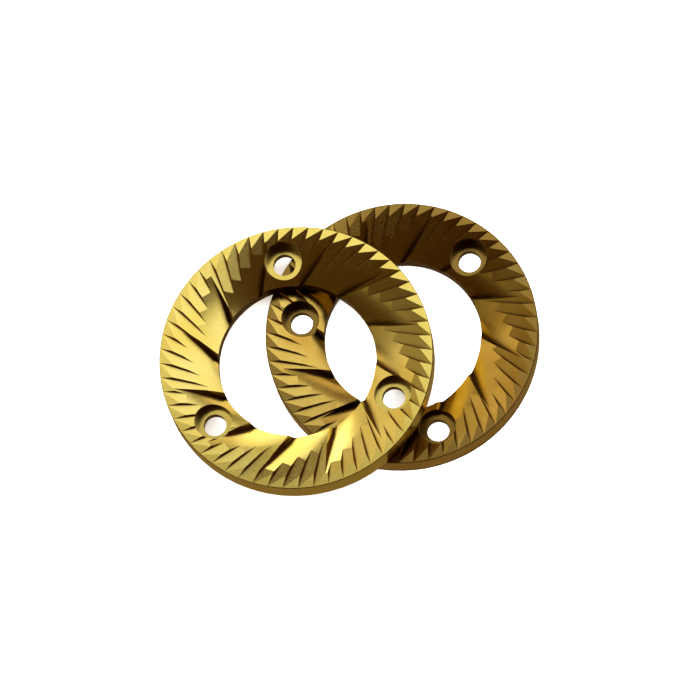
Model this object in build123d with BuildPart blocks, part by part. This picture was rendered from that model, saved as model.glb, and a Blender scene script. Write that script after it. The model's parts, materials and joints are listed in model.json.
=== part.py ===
"""A matched pair of flat grinding burrs, lying as they are kept: one on a surface, the other flat on top of it.

The origin is the centre of the lower burr's back face, +Z is up, and both burrs have their teeth up.
Each burr is one hardened disc: a ring with three counterbored screw holes, whose face holds fine sawtooth
grooves round the rim and, inside them, deeper breaker ramps that climb from the foot of one ridge to the next.
"""

from build123d import *
import math
import os

# The ring, in millimetres.
outer_d = 64.0
bore_d = 37.0
thickness = 6.5  # back face to the land, the flat left between the grooves at the rim
back_break = 0.4  # chamfer round both edges of the back face
rim_break = 0.15  # chamfer round the rim of the toothed face

# Cap screws hold a burr to its carrier.
screw_count = 3
screw_circle_d = 48.6
screw_hole_d = 5.3  # clearance for M5
screw_seat_d = 8.8  # clearance for the screw's head
screw_seat_depth = 4.4  # land to the flat seat under the head

# Fine sawtooth grooves, each a straight line that deepens from the rim inwards.
groove_count = 56
groove_tangent_r = 10.0  # each groove's line passes this far from the axis
groove_slope = 0.143  # fall of the floor along the groove
groove_end_r = 20.2  # the floor is clear of the ramps here
groove_facet_angle = 13.5  # the gentle side, from the land's plane
groove_steep_angle = 41.0  # the steep side

# Breaker ramps: each runs from the foot of one ridge's steep side up to the crest of the next ridge.
ridge_count = 12
ridge_start_r = 29.2  # a ridge's foot and crest part here, as seen from above
foot_tangent_r = 11.0
foot_start_r = 29.5  # the ramp leaves the land here at its foot
foot_slope = 0.324
crest_tangent_r = 8.6
crest_start_r = 27.2  # and here at its crest
crest_slope = 0.251
ridge_steep_angle = 47.0

# How the burrs lie: angles from +X to the first screw hole, and from that hole to the teeth.
upper_shift_x = -23.9
upper_shift_y = -8.1
lower_turn = 51.3
upper_turn = 339.3
lower_groove_turn = 0.1
upper_groove_turn = 4.25
lower_ridge_turn = -3.7
upper_ridge_turn = 6.3

outer_r = outer_d / 2
bore_r = bore_d / 2
groove_pitch = math.pi * outer_d / groove_count
ridge_pitch_angle = 360.0 / ridge_count
cutter_reach = 1.5  # cutters run this far past the ring
cutter_top = 5.0  # cutters stand this far above their foot, clear of the land
cutter_overlap = 1.2  # a cutter is this much wider than the step to the next one


def on_line(r, tangent_r, start_r, land_r, slope):
    """The point at radius r of a straight line that passes tangent_r from the axis, bears on the first
    screw hole's direction at start_r, and falls by slope from the land at land_r; the land is at height 0."""
    turn = math.asin(tangent_r / r) - math.asin(tangent_r / start_r)
    fall = slope * (math.sqrt(land_r**2 - tangent_r**2) - math.sqrt(r**2 - tangent_r**2))
    return Vector(r * math.cos(turn), r * math.sin(turn), -fall)


def ramp_section(r):
    """The upright plane through a ramp's foot and its crest at radius r, with both points in that plane."""
    foot = on_line(r, foot_tangent_r, ridge_start_r, foot_start_r, foot_slope)
    crest = on_line(r, crest_tangent_r, ridge_start_r, crest_start_r, crest_slope)
    crest = crest.rotate(Axis.Z, ridge_pitch_angle)
    across = Vector(crest.X - foot.X, crest.Y - foot.Y, 0)
    plane = Plane(origin=(foot.X, foot.Y, 0), x_dir=across, z_dir=across.cross(Vector(0, 0, 1)))
    return plane, (0, foot.Z), (across.length, crest.Z)


def cutter_outline(foot, crest, steep):
    """Points of a cutter's section: up the gentle side from its foot, past the crest, and back down."""
    rise = (crest[1] - foot[1]) / (crest[0] - foot[0])
    width = crest[0] * cutter_overlap
    return [
        foot,
        (width, foot[1] + rise * width),
        (width, foot[1] + cutter_top),
        (-cutter_top / math.tan(math.radians(steep)), foot[1] + cutter_top),
    ]


with BuildPart() as groove_cutter:
    rim_end = on_line(outer_r + cutter_reach, groove_tangent_r, outer_r, outer_r, groove_slope)
    inner_end = on_line(groove_end_r, groove_tangent_r, outer_r, outer_r, groove_slope)
    outward = rim_end - inner_end
    across = Vector(0, 0, 1).cross(outward)
    facet_rise = groove_pitch * math.tan(math.radians(groove_facet_angle))
    with BuildSketch(Plane(origin=inner_end, x_dir=across, z_dir=outward)):
        with BuildLine():
            Polyline(cutter_outline((0, 0), (groove_pitch, facet_rise), groove_steep_angle), close=True)
        make_face()
    extrude(amount=outward.length)

with BuildPart() as ramp_cutter:
    for section_r in (bore_r - cutter_reach, outer_r):
        section_plane, foot, crest = ramp_section(section_r)
        with BuildSketch(section_plane):
            with BuildLine():
                Polyline(cutter_outline(foot, crest, ridge_steep_angle), close=True)
            make_face()
    loft(ruled=True)


def cut_face(groove_turn, ridge_turn):
    """Cuts the ramps, the grooves and the screw holes into the toothed face of the burr being built."""
    with Locations((0, 0, thickness)):
        with PolarLocations(0, ridge_count, start_angle=ridge_turn):
            add(ramp_cutter.part, mode=Mode.SUBTRACT)
        with PolarLocations(0, groove_count, start_angle=groove_turn):
            add(groove_cutter.part, mode=Mode.SUBTRACT)
        with PolarLocations(screw_circle_d / 2, screw_count):
            CounterBoreHole(screw_hole_d / 2, screw_seat_d / 2, screw_seat_depth)


def burr_plane(x, y, z, turn):
    """The plane of a burr's back face, with its X axis towards the first screw hole."""
    return Plane(origin=(x, y, z), x_dir=Vector(1, 0, 0).rotate(Axis.Z, turn), z_dir=(0, 0, 1))


lower_plane = burr_plane(0, 0, 0, lower_turn)
upper_plane = burr_plane(upper_shift_x, upper_shift_y, thickness, upper_turn)

with BuildPart(lower_plane) as lower_burr:
    with BuildSketch(lower_plane):
        Circle(outer_r)
        Circle(bore_r, mode=Mode.SUBTRACT)
    extrude(amount=thickness)
    chamfer(lower_burr.edges().group_by(Axis.Z)[0], back_break)
    chamfer(lower_burr.edges().group_by(Axis.Z)[-1].sort_by(SortBy.RADIUS)[-1], rim_break)
    cut_face(lower_groove_turn, lower_ridge_turn)

with BuildPart(upper_plane) as upper_burr:
    with BuildSketch(upper_plane):
        Circle(outer_r)
        Circle(bore_r, mode=Mode.SUBTRACT)
    extrude(amount=thickness)
    chamfer(upper_burr.edges().group_by(Axis.Z)[0], back_break)
    chamfer(upper_burr.edges().group_by(Axis.Z)[-1].sort_by(SortBy.RADIUS)[-1], rim_break)
    cut_face(upper_groove_turn, upper_ridge_turn)

lower_burr.part.label = "lower_burr"
upper_burr.part.label = "upper_burr"

os.makedirs("parts", exist_ok=True)
export_step(lower_burr.part, "parts/lower_burr.step")
export_step(upper_burr.part, "parts/upper_burr.step")
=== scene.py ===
"""The looks of a matched pair of gold-coated flat grinding burrs, one lying on the other, on a pale floor."""

import json
import math

import bmesh
import bpy
from bpy.props import FloatProperty, FloatVectorProperty, PointerProperty
from mathutils import Euler, Matrix, Vector


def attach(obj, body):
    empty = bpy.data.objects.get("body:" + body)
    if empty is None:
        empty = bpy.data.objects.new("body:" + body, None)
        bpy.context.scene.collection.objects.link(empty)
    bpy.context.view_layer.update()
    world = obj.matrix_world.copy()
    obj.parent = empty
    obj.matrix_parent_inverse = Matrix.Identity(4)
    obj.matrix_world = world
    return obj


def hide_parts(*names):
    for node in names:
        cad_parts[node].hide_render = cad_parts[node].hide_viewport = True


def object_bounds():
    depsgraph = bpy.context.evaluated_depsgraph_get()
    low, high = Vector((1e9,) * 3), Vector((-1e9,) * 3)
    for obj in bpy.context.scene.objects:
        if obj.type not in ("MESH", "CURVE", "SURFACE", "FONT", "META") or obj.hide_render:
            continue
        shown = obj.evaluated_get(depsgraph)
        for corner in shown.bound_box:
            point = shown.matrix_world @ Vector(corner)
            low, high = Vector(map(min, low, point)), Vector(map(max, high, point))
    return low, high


bl_info = {
    "name": "Flat Grinding Burr Pair",
    "version": (1, 0, 0),
    "blender": (4, 5, 0),
    "location": "3D Viewport > Sidebar > Burrs",
    "description": "Finishes two flat grinding burrs and sets up the stage they are shown on",
    "category": "Object",
}

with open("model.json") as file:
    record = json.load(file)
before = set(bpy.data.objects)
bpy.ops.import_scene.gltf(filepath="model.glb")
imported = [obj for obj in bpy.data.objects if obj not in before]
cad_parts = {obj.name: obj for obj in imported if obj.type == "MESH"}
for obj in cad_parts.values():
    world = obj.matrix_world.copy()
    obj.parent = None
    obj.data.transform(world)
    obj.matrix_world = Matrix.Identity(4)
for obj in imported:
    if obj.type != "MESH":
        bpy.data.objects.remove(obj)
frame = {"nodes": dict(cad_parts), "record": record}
cad_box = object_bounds()

MM = 0.001
WELD = 0.001 * MM  # vertices nearer than this are one
FACET_EDGE = math.radians(5)  # ramps bend less than this between faces; a facet meets the land at 13 degrees
TURNED_EDGE = math.radians(25)  # turned walls bend up to this between faces
LAND_RISE = 0.999  # upward part of a land's normal
WALL_RISE = 0.02  # and, at most, of an upright wall's
BACK_RISE = (0.6, 0.82)  # and of the teeth's steep sides
SEAT_RADIUS = 4.45 * MM  # just past the edge of a screw seat
INNER_WALL = 30 * MM  # walls nearer a burr's axis than this are in its bore or screw holes
TOOTH, LAND, TOOTH_BACK, SCREW_SEAT, INNER = range(5)  # a burr's surfaces, in the order of its coats

REDDER = (0.97, 0.88, 0.75)  # what a thicker coat leaves of each of its colour's parts
PATCH_EDGE = (0.35, 0.7)  # noise where a redder patch begins, and where it is full
# Painted shade: ambient occlusion sets how far the grooves are darkened towards brown.
PAINTED_SHADE_OPENNESS = (0.72, 0.95)  # how open the surface is where it is brownest, and where it is clear
OPENNESS_RAYS = 16
# The roughness that each way of cutting leaves in the coat.
BLASTED, LAPPED, COARSE_GROUND, COUNTERBORED, TURNED = 0.2, 0.2, 0.32, 0.25, 0.3
GRAIN_SPREAD = (0.3, 0.7)  # noise of the smoothest and of the roughest grain
ROUGHNESS_SPREAD = 0.03  # and how much smoother and rougher those are
PIT_STRENGTH, PIT_DEPTH = 0.1, 0.02 * MM
MIX_FACTOR, MIX_A, MIX_B, MIX_RESULT = 0, 6, 7, 2  # a colour Mix node's sockets, which share their names
FIBRE_WIDTH, FIBRE_HEIGHT, FIBRE_STRENGTH = 2 * MM, 0.05 * MM, 0.02

FLOOR_GAP = 0.02 * MM  # under the lower burr, so that the two surfaces don't flicker
ROOM_STRENGTH = 0.6
WALL_GLOW_HEIGHT = (0.6, 0.2)  # upward part of the direction where the walls' glow begins, and where it is full
TABLE_GLOW_HEIGHT = (-0.15, -0.45)  # and the table's
CAMERA_PLACE = (99.17, -355.65, 1081.71)  # in millimetres
CAMERA_TURN = (18.173, 5.332, 1.747)  # in degrees
CAMERA_LENS, CAMERA_SENSOR = 250.18, 36.0  # in millimetres
CAMERA_CLIP = (0.05, 10.0)  # in metres


def linear_colour(code):
    """An sRGB hex colour as linear RGB."""
    values = [int(code[start : start + 2], 16) / 255 for start in (0, 2, 4)]
    return [v / 12.92 if v <= 0.04045 else ((v + 0.055) / 1.055) ** 2.4 for v in values]


def redder(colour):
    """The same coat where it is a little thicker: slightly darker, and redder."""
    return [value * share for value, share in zip(colour, REDDER)]


def colour_property(name, description, code):
    return FloatVectorProperty(
        name=name, description=description, subtype="COLOR", size=3, min=0, max=1, default=linear_colour(code)
    )


class BurrFinish(bpy.types.PropertyGroup):
    """Sizes and colours of the burrs' coating."""

    upper_face: colour_property("Upper burr", "The upper burr's coat", "F2DF80")
    upper_warm: colour_property("Upper warm patches", "Where its coat is a little thicker and redder", "EED568")
    upper_land: colour_property("Upper land", "Its lapped rim, between the grooves", "F0DC74")
    # Painted shade: the teeth's steep sides, which are also rougher, are coloured dark brown for the shade they lie in,
    # and the groove bottoms are darkened towards it.
    upper_back: colour_property("Upper tooth backs", "The coarse-ground steep sides of its teeth", "5E3C12")
    lower_face: colour_property("Lower burr", "The lower burr's coat, from a darker batch", "DCC062")
    lower_warm: colour_property("Lower warm patches", "Where its coat is a little thicker and redder", "C8A044")
    # The lower land is simply coloured darker than the upper burr's land.
    lower_land: colour_property("Lower land", "Its lapped rim, dulled by handling", "92783A")
    # Painted shade: the lower burr's steep tooth sides and groove bottoms get this dark brown for the shade they lie
    # in.
    lower_back: colour_property("Lower tooth backs", "The coarse-ground steep sides of its teeth", "4C300E")
    # Painted shade: the bore and screw hole walls are coloured dark brown for the shade inside them.
    bore_wall_painted_shade: colour_property("Bore walls", "The thin brown coat inside the bores and screw holes", "5A3C14")
    # Painted shade: how far the groove bottoms are darkened towards the tooth backs' brown where ambient occlusion
    # finds them closed in.
    groove_painted_shade: FloatProperty(
        name="Groove shade",
        description="How brown the coat gets in the bottom of the grooves",
        default=0.9,
        min=0,
        max=1,
        subtype="FACTOR",
    )
    upper_turn: FloatProperty(
        name="Upper turn", description="Bearing of its first screw hole", default=math.radians(339.3), subtype="ANGLE"
    )
    lower_turn: FloatProperty(
        name="Lower turn", description="Bearing of its first screw hole", default=math.radians(51.3), subtype="ANGLE"
    )
    patch_size: FloatProperty(
        name="Patch size", description="Width of the redder patches", default=9 * MM, unit="LENGTH"
    )
    grain_size: FloatProperty(
        name="Grain size", description="Width of the pits left by grit blasting", default=0.45 * MM, unit="LENGTH"
    )
    # Painted shade: how far the ambient occlusion reaches when it darkens the grooves.
    groove_painted_shade_reach: FloatProperty(
        name="Groove depth", description="How far in the coat turns browner", default=2.2 * MM, unit="LENGTH"
    )


class StageSettings(bpy.types.PropertyGroup):
    """Sizes and colours of the stage."""

    floor_colour: colour_property("Floor", "Matt white paper", "F7F7F5")
    surround: colour_property("Surround", "The dim warm room round the lights", "583C1A")
    wall_glow: colour_property("Wall glow", "The lit lower part of the room's walls", "D2AE6C")
    table_glow: colour_property("Table glow", "What the upright walls mirror from under the lights", "A88C56")
    floor_width: FloatProperty(name="Floor width", description="Side of the floor", default=3.0, unit="LENGTH")


def add_node(tree, kind, settings, links):
    """Adds a node to a tree, with its settings (sockets or the node's own) and what feeds its sockets."""
    node = tree.nodes.new(kind)
    for name, value in settings.items():
        if hasattr(node, str(name)):
            setattr(node, name, value)
        else:
            node.inputs[name].default_value = value
    for name, source in links.items():
        tree.links.new(source, node.inputs[name])
    return node


def nitride(name, colour, patch_colour, roughness, finish, painted_shade_colour=None):
    """Titanium nitride on hardened steel: a satin gold metal whose highlights are soft and broad.

    The eye gets slow drifts towards red where the coat is thicker and, with a painted shade colour, painted shade: the
    colour is mixed towards that brown in the bottom of the grooves, where ambient occlusion finds the surface closed
    in.
    A fine grain of about half a millimetre breaks up the highlights: the real pits are ten times finer, too fine to
    show.
    """
    material = bpy.data.materials.new(name)
    material.use_nodes = True
    tree = material.node_tree
    tree.nodes.clear()
    place = add_node(tree, "ShaderNodeTexCoord", {}, {}).outputs["Object"]
    patches = add_node(
        tree, "ShaderNodeTexNoise", {"Scale": 1 / finish.patch_size, "Detail": 2.0, "Roughness": 0.5}, {"Vector": place}
    )
    patch_amount = add_node(
        tree,
        "ShaderNodeMapRange",
        {"From Min": PATCH_EDGE[0], "From Max": PATCH_EDGE[1]},
        {"Value": patches.outputs["Fac"]},
    )
    surface = add_node(
        tree,
        "ShaderNodeMix",
        {"data_type": "RGBA", MIX_A: (*colour, 1), MIX_B: (*patch_colour, 1)},
        {MIX_FACTOR: patch_amount.outputs["Result"]},
    ).outputs[MIX_RESULT]
    # Painted shade: where ambient occlusion finds the surface closed in, its colour is mixed towards the dark brown.
    if painted_shade_colour is not None:
        openness = add_node(
            tree, "ShaderNodeAmbientOcclusion", {"samples": OPENNESS_RAYS, "Distance": finish.groove_painted_shade_reach}, {}
        )
        painted_shade_amount = add_node(
            tree,
            "ShaderNodeMapRange",
            {
                "From Min": PAINTED_SHADE_OPENNESS[0],
                "From Max": PAINTED_SHADE_OPENNESS[1],
                "To Min": finish.groove_painted_shade,
                "To Max": 0.0,
            },
            {"Value": openness.outputs["AO"]},
        )
        surface = add_node(
            tree,
            "ShaderNodeMix",
            {"data_type": "RGBA", MIX_B: (*painted_shade_colour, 1)},
            {MIX_FACTOR: painted_shade_amount.outputs["Result"], MIX_A: surface},
        ).outputs[MIX_RESULT]
    grain = add_node(
        tree, "ShaderNodeTexNoise", {"Scale": 1 / finish.grain_size, "Detail": 3.0, "Roughness": 0.6}, {"Vector": place}
    )
    rough = add_node(
        tree,
        "ShaderNodeMapRange",
        {
            "From Min": GRAIN_SPREAD[0],
            "From Max": GRAIN_SPREAD[1],
            "To Min": roughness - ROUGHNESS_SPREAD,
            "To Max": roughness + ROUGHNESS_SPREAD,
        },
        {"Value": grain.outputs["Fac"]},
    )
    pits = add_node(
        tree, "ShaderNodeBump", {"Strength": PIT_STRENGTH, "Distance": PIT_DEPTH}, {"Height": grain.outputs["Fac"]}
    )
    metal = add_node(
        tree,
        "ShaderNodeBsdfPrincipled",
        {"Metallic": 1.0},
        {"Base Color": surface, "Roughness": rough.outputs["Result"], "Normal": pits.outputs["Normal"]},
    )
    add_node(tree, "ShaderNodeOutputMaterial", {}, {"Surface": metal.outputs["BSDF"]})
    return material


def matt_paper(name, colour):
    """Uncoated white background paper: matt, with no gloss to catch the lights.

    Its fibres are drawn 2 mm wide, because the real ones are too fine to show.
    """
    material = bpy.data.materials.new(name)
    material.use_nodes = True
    tree = material.node_tree
    tree.nodes.clear()
    place = add_node(tree, "ShaderNodeTexCoord", {}, {}).outputs["Object"]
    fibres = add_node(tree, "ShaderNodeTexNoise", {"Scale": 1 / FIBRE_WIDTH, "Detail": 2.0}, {"Vector": place})
    tooth = add_node(
        tree,
        "ShaderNodeBump",
        {"Strength": FIBRE_STRENGTH, "Distance": FIBRE_HEIGHT},
        {"Height": fibres.outputs["Fac"]},
    )
    paper = add_node(
        tree,
        "ShaderNodeBsdfPrincipled",
        {"Base Color": (*colour, 1), "Roughness": 0.9, "Specular IOR Level": 0.1},
        {"Normal": tooth.outputs["Normal"]},
    )
    add_node(tree, "ShaderNodeOutputMaterial", {}, {"Surface": paper.outputs["BSDF"]})
    return material


def screw_axes(body, turn):
    """Where a burr's own axis and its screw axes pass, from its bolt circle and the bearing of its first screw."""
    holes = next(m for m in frame["record"]["mounts"] if m["name"] == f"{body}_screw_holes")
    radius = holes["dims"]["pcd_mm"] / 2 * MM
    count = holes["dims"]["count"]
    centre = Vector(holes["pos_m"][:2])
    bearings = [turn + i * math.tau / count for i in range(count)]
    return centre, [centre + Vector((math.cos(a), math.sin(a))) * radius for a in bearings]


def surface_of(face, centre, axes):
    """Which of a burr's surfaces a face belongs to, from the way it faces and where it is."""
    rise = face.normal.z
    middle = face.calc_center_median().xy
    if rise > LAND_RISE:
        near_screw = any((middle - axis).length < SEAT_RADIUS for axis in axes)
        return SCREW_SEAT if near_screw else LAND
    if BACK_RISE[0] < rise < BACK_RISE[1]:
        return TOOTH_BACK
    if abs(rise) < WALL_RISE and (middle - centre).length < INNER_WALL:
        return INNER
    return TOOTH


def burr_coats(body, finish):
    """One burr's coats, in the order of its surfaces: the nitride is the same, but takes the gloss of the cut below,
    and the tooth backs and inner walls are coloured dark brown as painted shade.
    """
    face, warm, land, back = (getattr(finish, f"{body}_{part}") for part in ("face", "warm", "land", "back"))
    inner = finish.bore_wall_painted_shade
    land_patch = warm if body == "upper" else redder(land)
    return (
        # Grit-blasted ramps and tooth faces: an even satin, darkened to brown as painted shade along each groove's
        # bottom.
        nitride(f"{body}_blasted_nitride", face, warm, BLASTED, finish, painted_shade_colour=back),
        # The lapped land: flat, so each small triangle of it has one brightness.
        nitride(f"{body}_lapped_nitride", land, land_patch, LAPPED, finish),
        # Coarse-ground tooth backs: duller, and coloured dark brown as painted shade, which draws a dark line beside
        # each tooth.
        nitride(f"{body}_coarse_ground_nitride", back, redder(back), COARSE_GROUND, finish),
        # Counterbored seats: a soft bright ring in the bottom of each dark hole.
        nitride(f"{body}_counterbored_nitride", land, land_patch, COUNTERBORED, finish),
        # Turned walls of the bore and the screw holes: dark brown as painted shade for the shade inside them, with
        # streaks of light down them.
        nitride(f"{body}_turned_nitride", inner, redder(inner), TURNED, finish),
    )


def finish_disc(name, body, finish):
    """Welds a copy of a burr's CAD node, shades its curved walls smooth and its cut edges sharp, and coats it."""
    node = f"{body}_burr"
    centre, axes = screw_axes(body, getattr(finish, f"{body}_turn"))
    mesh = bpy.data.meshes.new(name)
    bm = bmesh.new()
    bm.from_mesh(frame["nodes"][node].data)
    bmesh.ops.remove_doubles(bm, verts=bm.verts, dist=WELD)
    bmesh.ops.recalc_face_normals(bm, faces=bm.faces)
    bm.normal_update()
    for face in bm.faces:
        face.smooth = True
        face.material_index = surface_of(face, centre, axes)
    for edge in bm.edges:
        if len(edge.link_faces) != 2:
            raise RuntimeError(f"{node} has an open edge")
        turned = all(abs(face.normal.z) < WALL_RISE for face in edge.link_faces)
        limit = TURNED_EDGE if turned else FACET_EDGE
        edge.smooth = edge.calc_face_angle() < limit
    bm.to_mesh(mesh)
    bm.free()
    for coat in burr_coats(body, finish):
        mesh.materials.append(coat)
    disc = bpy.data.objects.new(name, mesh)
    bpy.context.scene.collection.objects.link(disc)
    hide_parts(node)
    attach(disc, body)
    return disc


class BURR_OT_finish_lower(bpy.types.Operator):
    """Finishes the burr that lies on the floor"""

    bl_idname = "burr.finish_lower"
    bl_label = "Finish lower burr"

    def execute(self, context):
        finish_disc("lower_disc", "lower", context.scene.burr_finish)
        return {"FINISHED"}


class BURR_OT_finish_upper(bpy.types.Operator):
    """Finishes the burr that lies on the other one"""

    bl_idname = "burr.finish_upper"
    bl_label = "Finish upper burr"

    def execute(self, context):
        finish_disc("upper_disc", "upper", context.scene.burr_finish)
        return {"FINISHED"}


# Softboxes: name, bearing from +X, lean from straight up, distance, width along X, height, radiance, colour, and
# whether the metal mirrors it. The weaker ones are warmed by the gold and the room they bounce off.
SOFTBOXES = (
    ("key_softbox", 58, 36, 0.70, 0.94, 0.46, 1.13, "FFFFFF", True),
    ("back_softbox", 113, 71, 0.80, 0.66, 0.44, 1.40, "FFFFFF", True),
    ("side_softbox", 150, 60, 0.80, 0.60, 0.70, 0.62, "FFEFD6", True),
    ("rear_fill", 60, 76, 0.95, 0.90, 0.50, 0.75, "FFEFD6", True),
    ("left_glow", 190, 82, 0.90, 0.50, 0.80, 0.55, "FFE6C0", True),
    ("front_glow", 228, 76, 0.90, 0.50, 0.35, 0.80, "FFE6C0", True),
    ("upper_left_fill", 166, 31, 0.90, 0.58, 0.52, 0.27, "FFEFC8", True),
    ("floor_light", 0, 0, 1.60, 2.40, 2.40, 10.0, "FFFFFF", False),
)


class BURR_OT_set_stage(bpy.types.Operator):
    """Lays the floor and places the camera and the soft studio lights"""

    bl_idname = "burr.set_stage"
    bl_label = "Set stage"

    def execute(self, context):
        stage = context.scene.burr_stage
        centre = (Vector(cad_box[0]) + Vector(cad_box[1])) / 2
        self.lay_floor(context, stage, centre)
        for softbox in SOFTBOXES:
            self.hang_softbox(context, centre, *softbox)
        self.light_room(context, stage)
        self.place_camera(context)
        context.scene.view_settings.view_transform = "Standard"
        return {"FINISHED"}

    def lay_floor(self, context, stage, centre):
        mesh = bpy.data.meshes.new("paper_floor")
        bm = bmesh.new()
        bmesh.ops.create_grid(bm, x_segments=1, y_segments=1, size=stage.floor_width / 2)
        bmesh.ops.translate(bm, verts=bm.verts, vec=(centre.x, centre.y, cad_box[0][2] - FLOOR_GAP))
        bm.to_mesh(mesh)
        bm.free()
        mesh.materials.append(matt_paper("matt_paper", stage.floor_colour))
        floor = bpy.data.objects.new("paper_floor", mesh)
        floor.visible_glossy = False  # the burrs' outer walls mirror the room's table glow instead of it
        context.scene.collection.objects.link(floor)

    def hang_softbox(self, context, centre, name, bearing, lean, distance, width, height, radiance, colour, seen):
        light = bpy.data.lights.new(name, "AREA")
        light.shape = "RECTANGLE"
        light.size, light.size_y = width, height
        light.energy = radiance * math.pi * width * height
        light.color = linear_colour(colour)
        back = Vector((0, 0, 1))
        back.rotate(Euler((0, math.radians(lean), math.radians(bearing))))
        side = (Vector((1, 0, 0)) - back * back.x).normalized()
        lamp = bpy.data.objects.new(name, light)
        lamp.location = centre + back * distance
        lamp.rotation_euler = Matrix((side, back.cross(side), back)).transposed().to_euler()
        lamp.visible_glossy = seen
        context.scene.collection.objects.link(lamp)

    def light_room(self, context, stage):
        world = bpy.data.worlds.new("studio")
        world.use_nodes = True
        tree = world.node_tree
        tree.nodes.clear()
        direction = add_node(tree, "ShaderNodeTexCoord", {}, {}).outputs["Generated"]
        height = add_node(tree, "ShaderNodeSeparateXYZ", {}, {"Vector": direction}).outputs["Z"]
        below = add_node(
            tree,
            "ShaderNodeMapRange",
            {"From Min": TABLE_GLOW_HEIGHT[0], "From Max": TABLE_GLOW_HEIGHT[1]},
            {"Value": height},
        )
        low = add_node(
            tree,
            "ShaderNodeMapRange",
            {"From Min": WALL_GLOW_HEIGHT[0], "From Max": WALL_GLOW_HEIGHT[1]},
            {"Value": height},
        )
        walls = add_node(
            tree,
            "ShaderNodeMix",
            {"data_type": "RGBA", MIX_A: (*stage.surround, 1), MIX_B: (*stage.wall_glow, 1)},
            {MIX_FACTOR: low.outputs["Result"]},
        )
        room = add_node(
            tree,
            "ShaderNodeMix",
            {"data_type": "RGBA", MIX_B: (*stage.table_glow, 1)},
            {MIX_FACTOR: below.outputs["Result"], MIX_A: walls.outputs[MIX_RESULT]},
        )
        glow = add_node(
            tree, "ShaderNodeBackground", {"Strength": ROOM_STRENGTH}, {"Color": room.outputs[MIX_RESULT]}
        )
        add_node(tree, "ShaderNodeOutputWorld", {}, {"Surface": glow.outputs["Background"]})
        context.scene.world = world

    def place_camera(self, context):
        camera = bpy.data.cameras.new("camera")
        camera.sensor_width = CAMERA_SENSOR
        camera.lens = CAMERA_LENS
        camera.clip_start, camera.clip_end = CAMERA_CLIP
        viewer = bpy.data.objects.new("camera", camera)
        viewer.location = Vector(CAMERA_PLACE) * MM
        viewer.rotation_euler = Euler([math.radians(angle) for angle in CAMERA_TURN])
        context.scene.collection.objects.link(viewer)
        context.scene.camera = viewer


class BURR_PT_panel(bpy.types.Panel):
    """Lists the steps that finish the burrs and set the stage"""

    bl_idname = "BURR_PT_panel"
    bl_label = "Grinding burrs"
    bl_space_type = "VIEW_3D"
    bl_region_type = "UI"
    bl_category = "Burrs"

    def draw(self, context):
        for operator in STEPS:
            self.layout.operator(operator.bl_idname)
        for group in (context.scene.burr_finish, context.scene.burr_stage):
            for name in group.bl_rna.properties.keys():
                if name not in ("rna_type", "name"):
                    self.layout.prop(group, name)


STEPS = (BURR_OT_finish_lower, BURR_OT_finish_upper, BURR_OT_set_stage)
CLASSES = (BurrFinish, StageSettings, *STEPS, BURR_PT_panel)


def register():
    for item in CLASSES:
        bpy.utils.register_class(item)
    bpy.types.Scene.burr_finish = PointerProperty(type=BurrFinish)
    bpy.types.Scene.burr_stage = PointerProperty(type=StageSettings)


def unregister():
    del bpy.types.Scene.burr_stage
    del bpy.types.Scene.burr_finish
    for item in reversed(CLASSES):
        bpy.utils.unregister_class(item)


def main():
    register()
    bpy.ops.burr.finish_lower()
    bpy.ops.burr.finish_upper()
    bpy.ops.burr.set_stage()


if __name__ == "__main__":
    main()
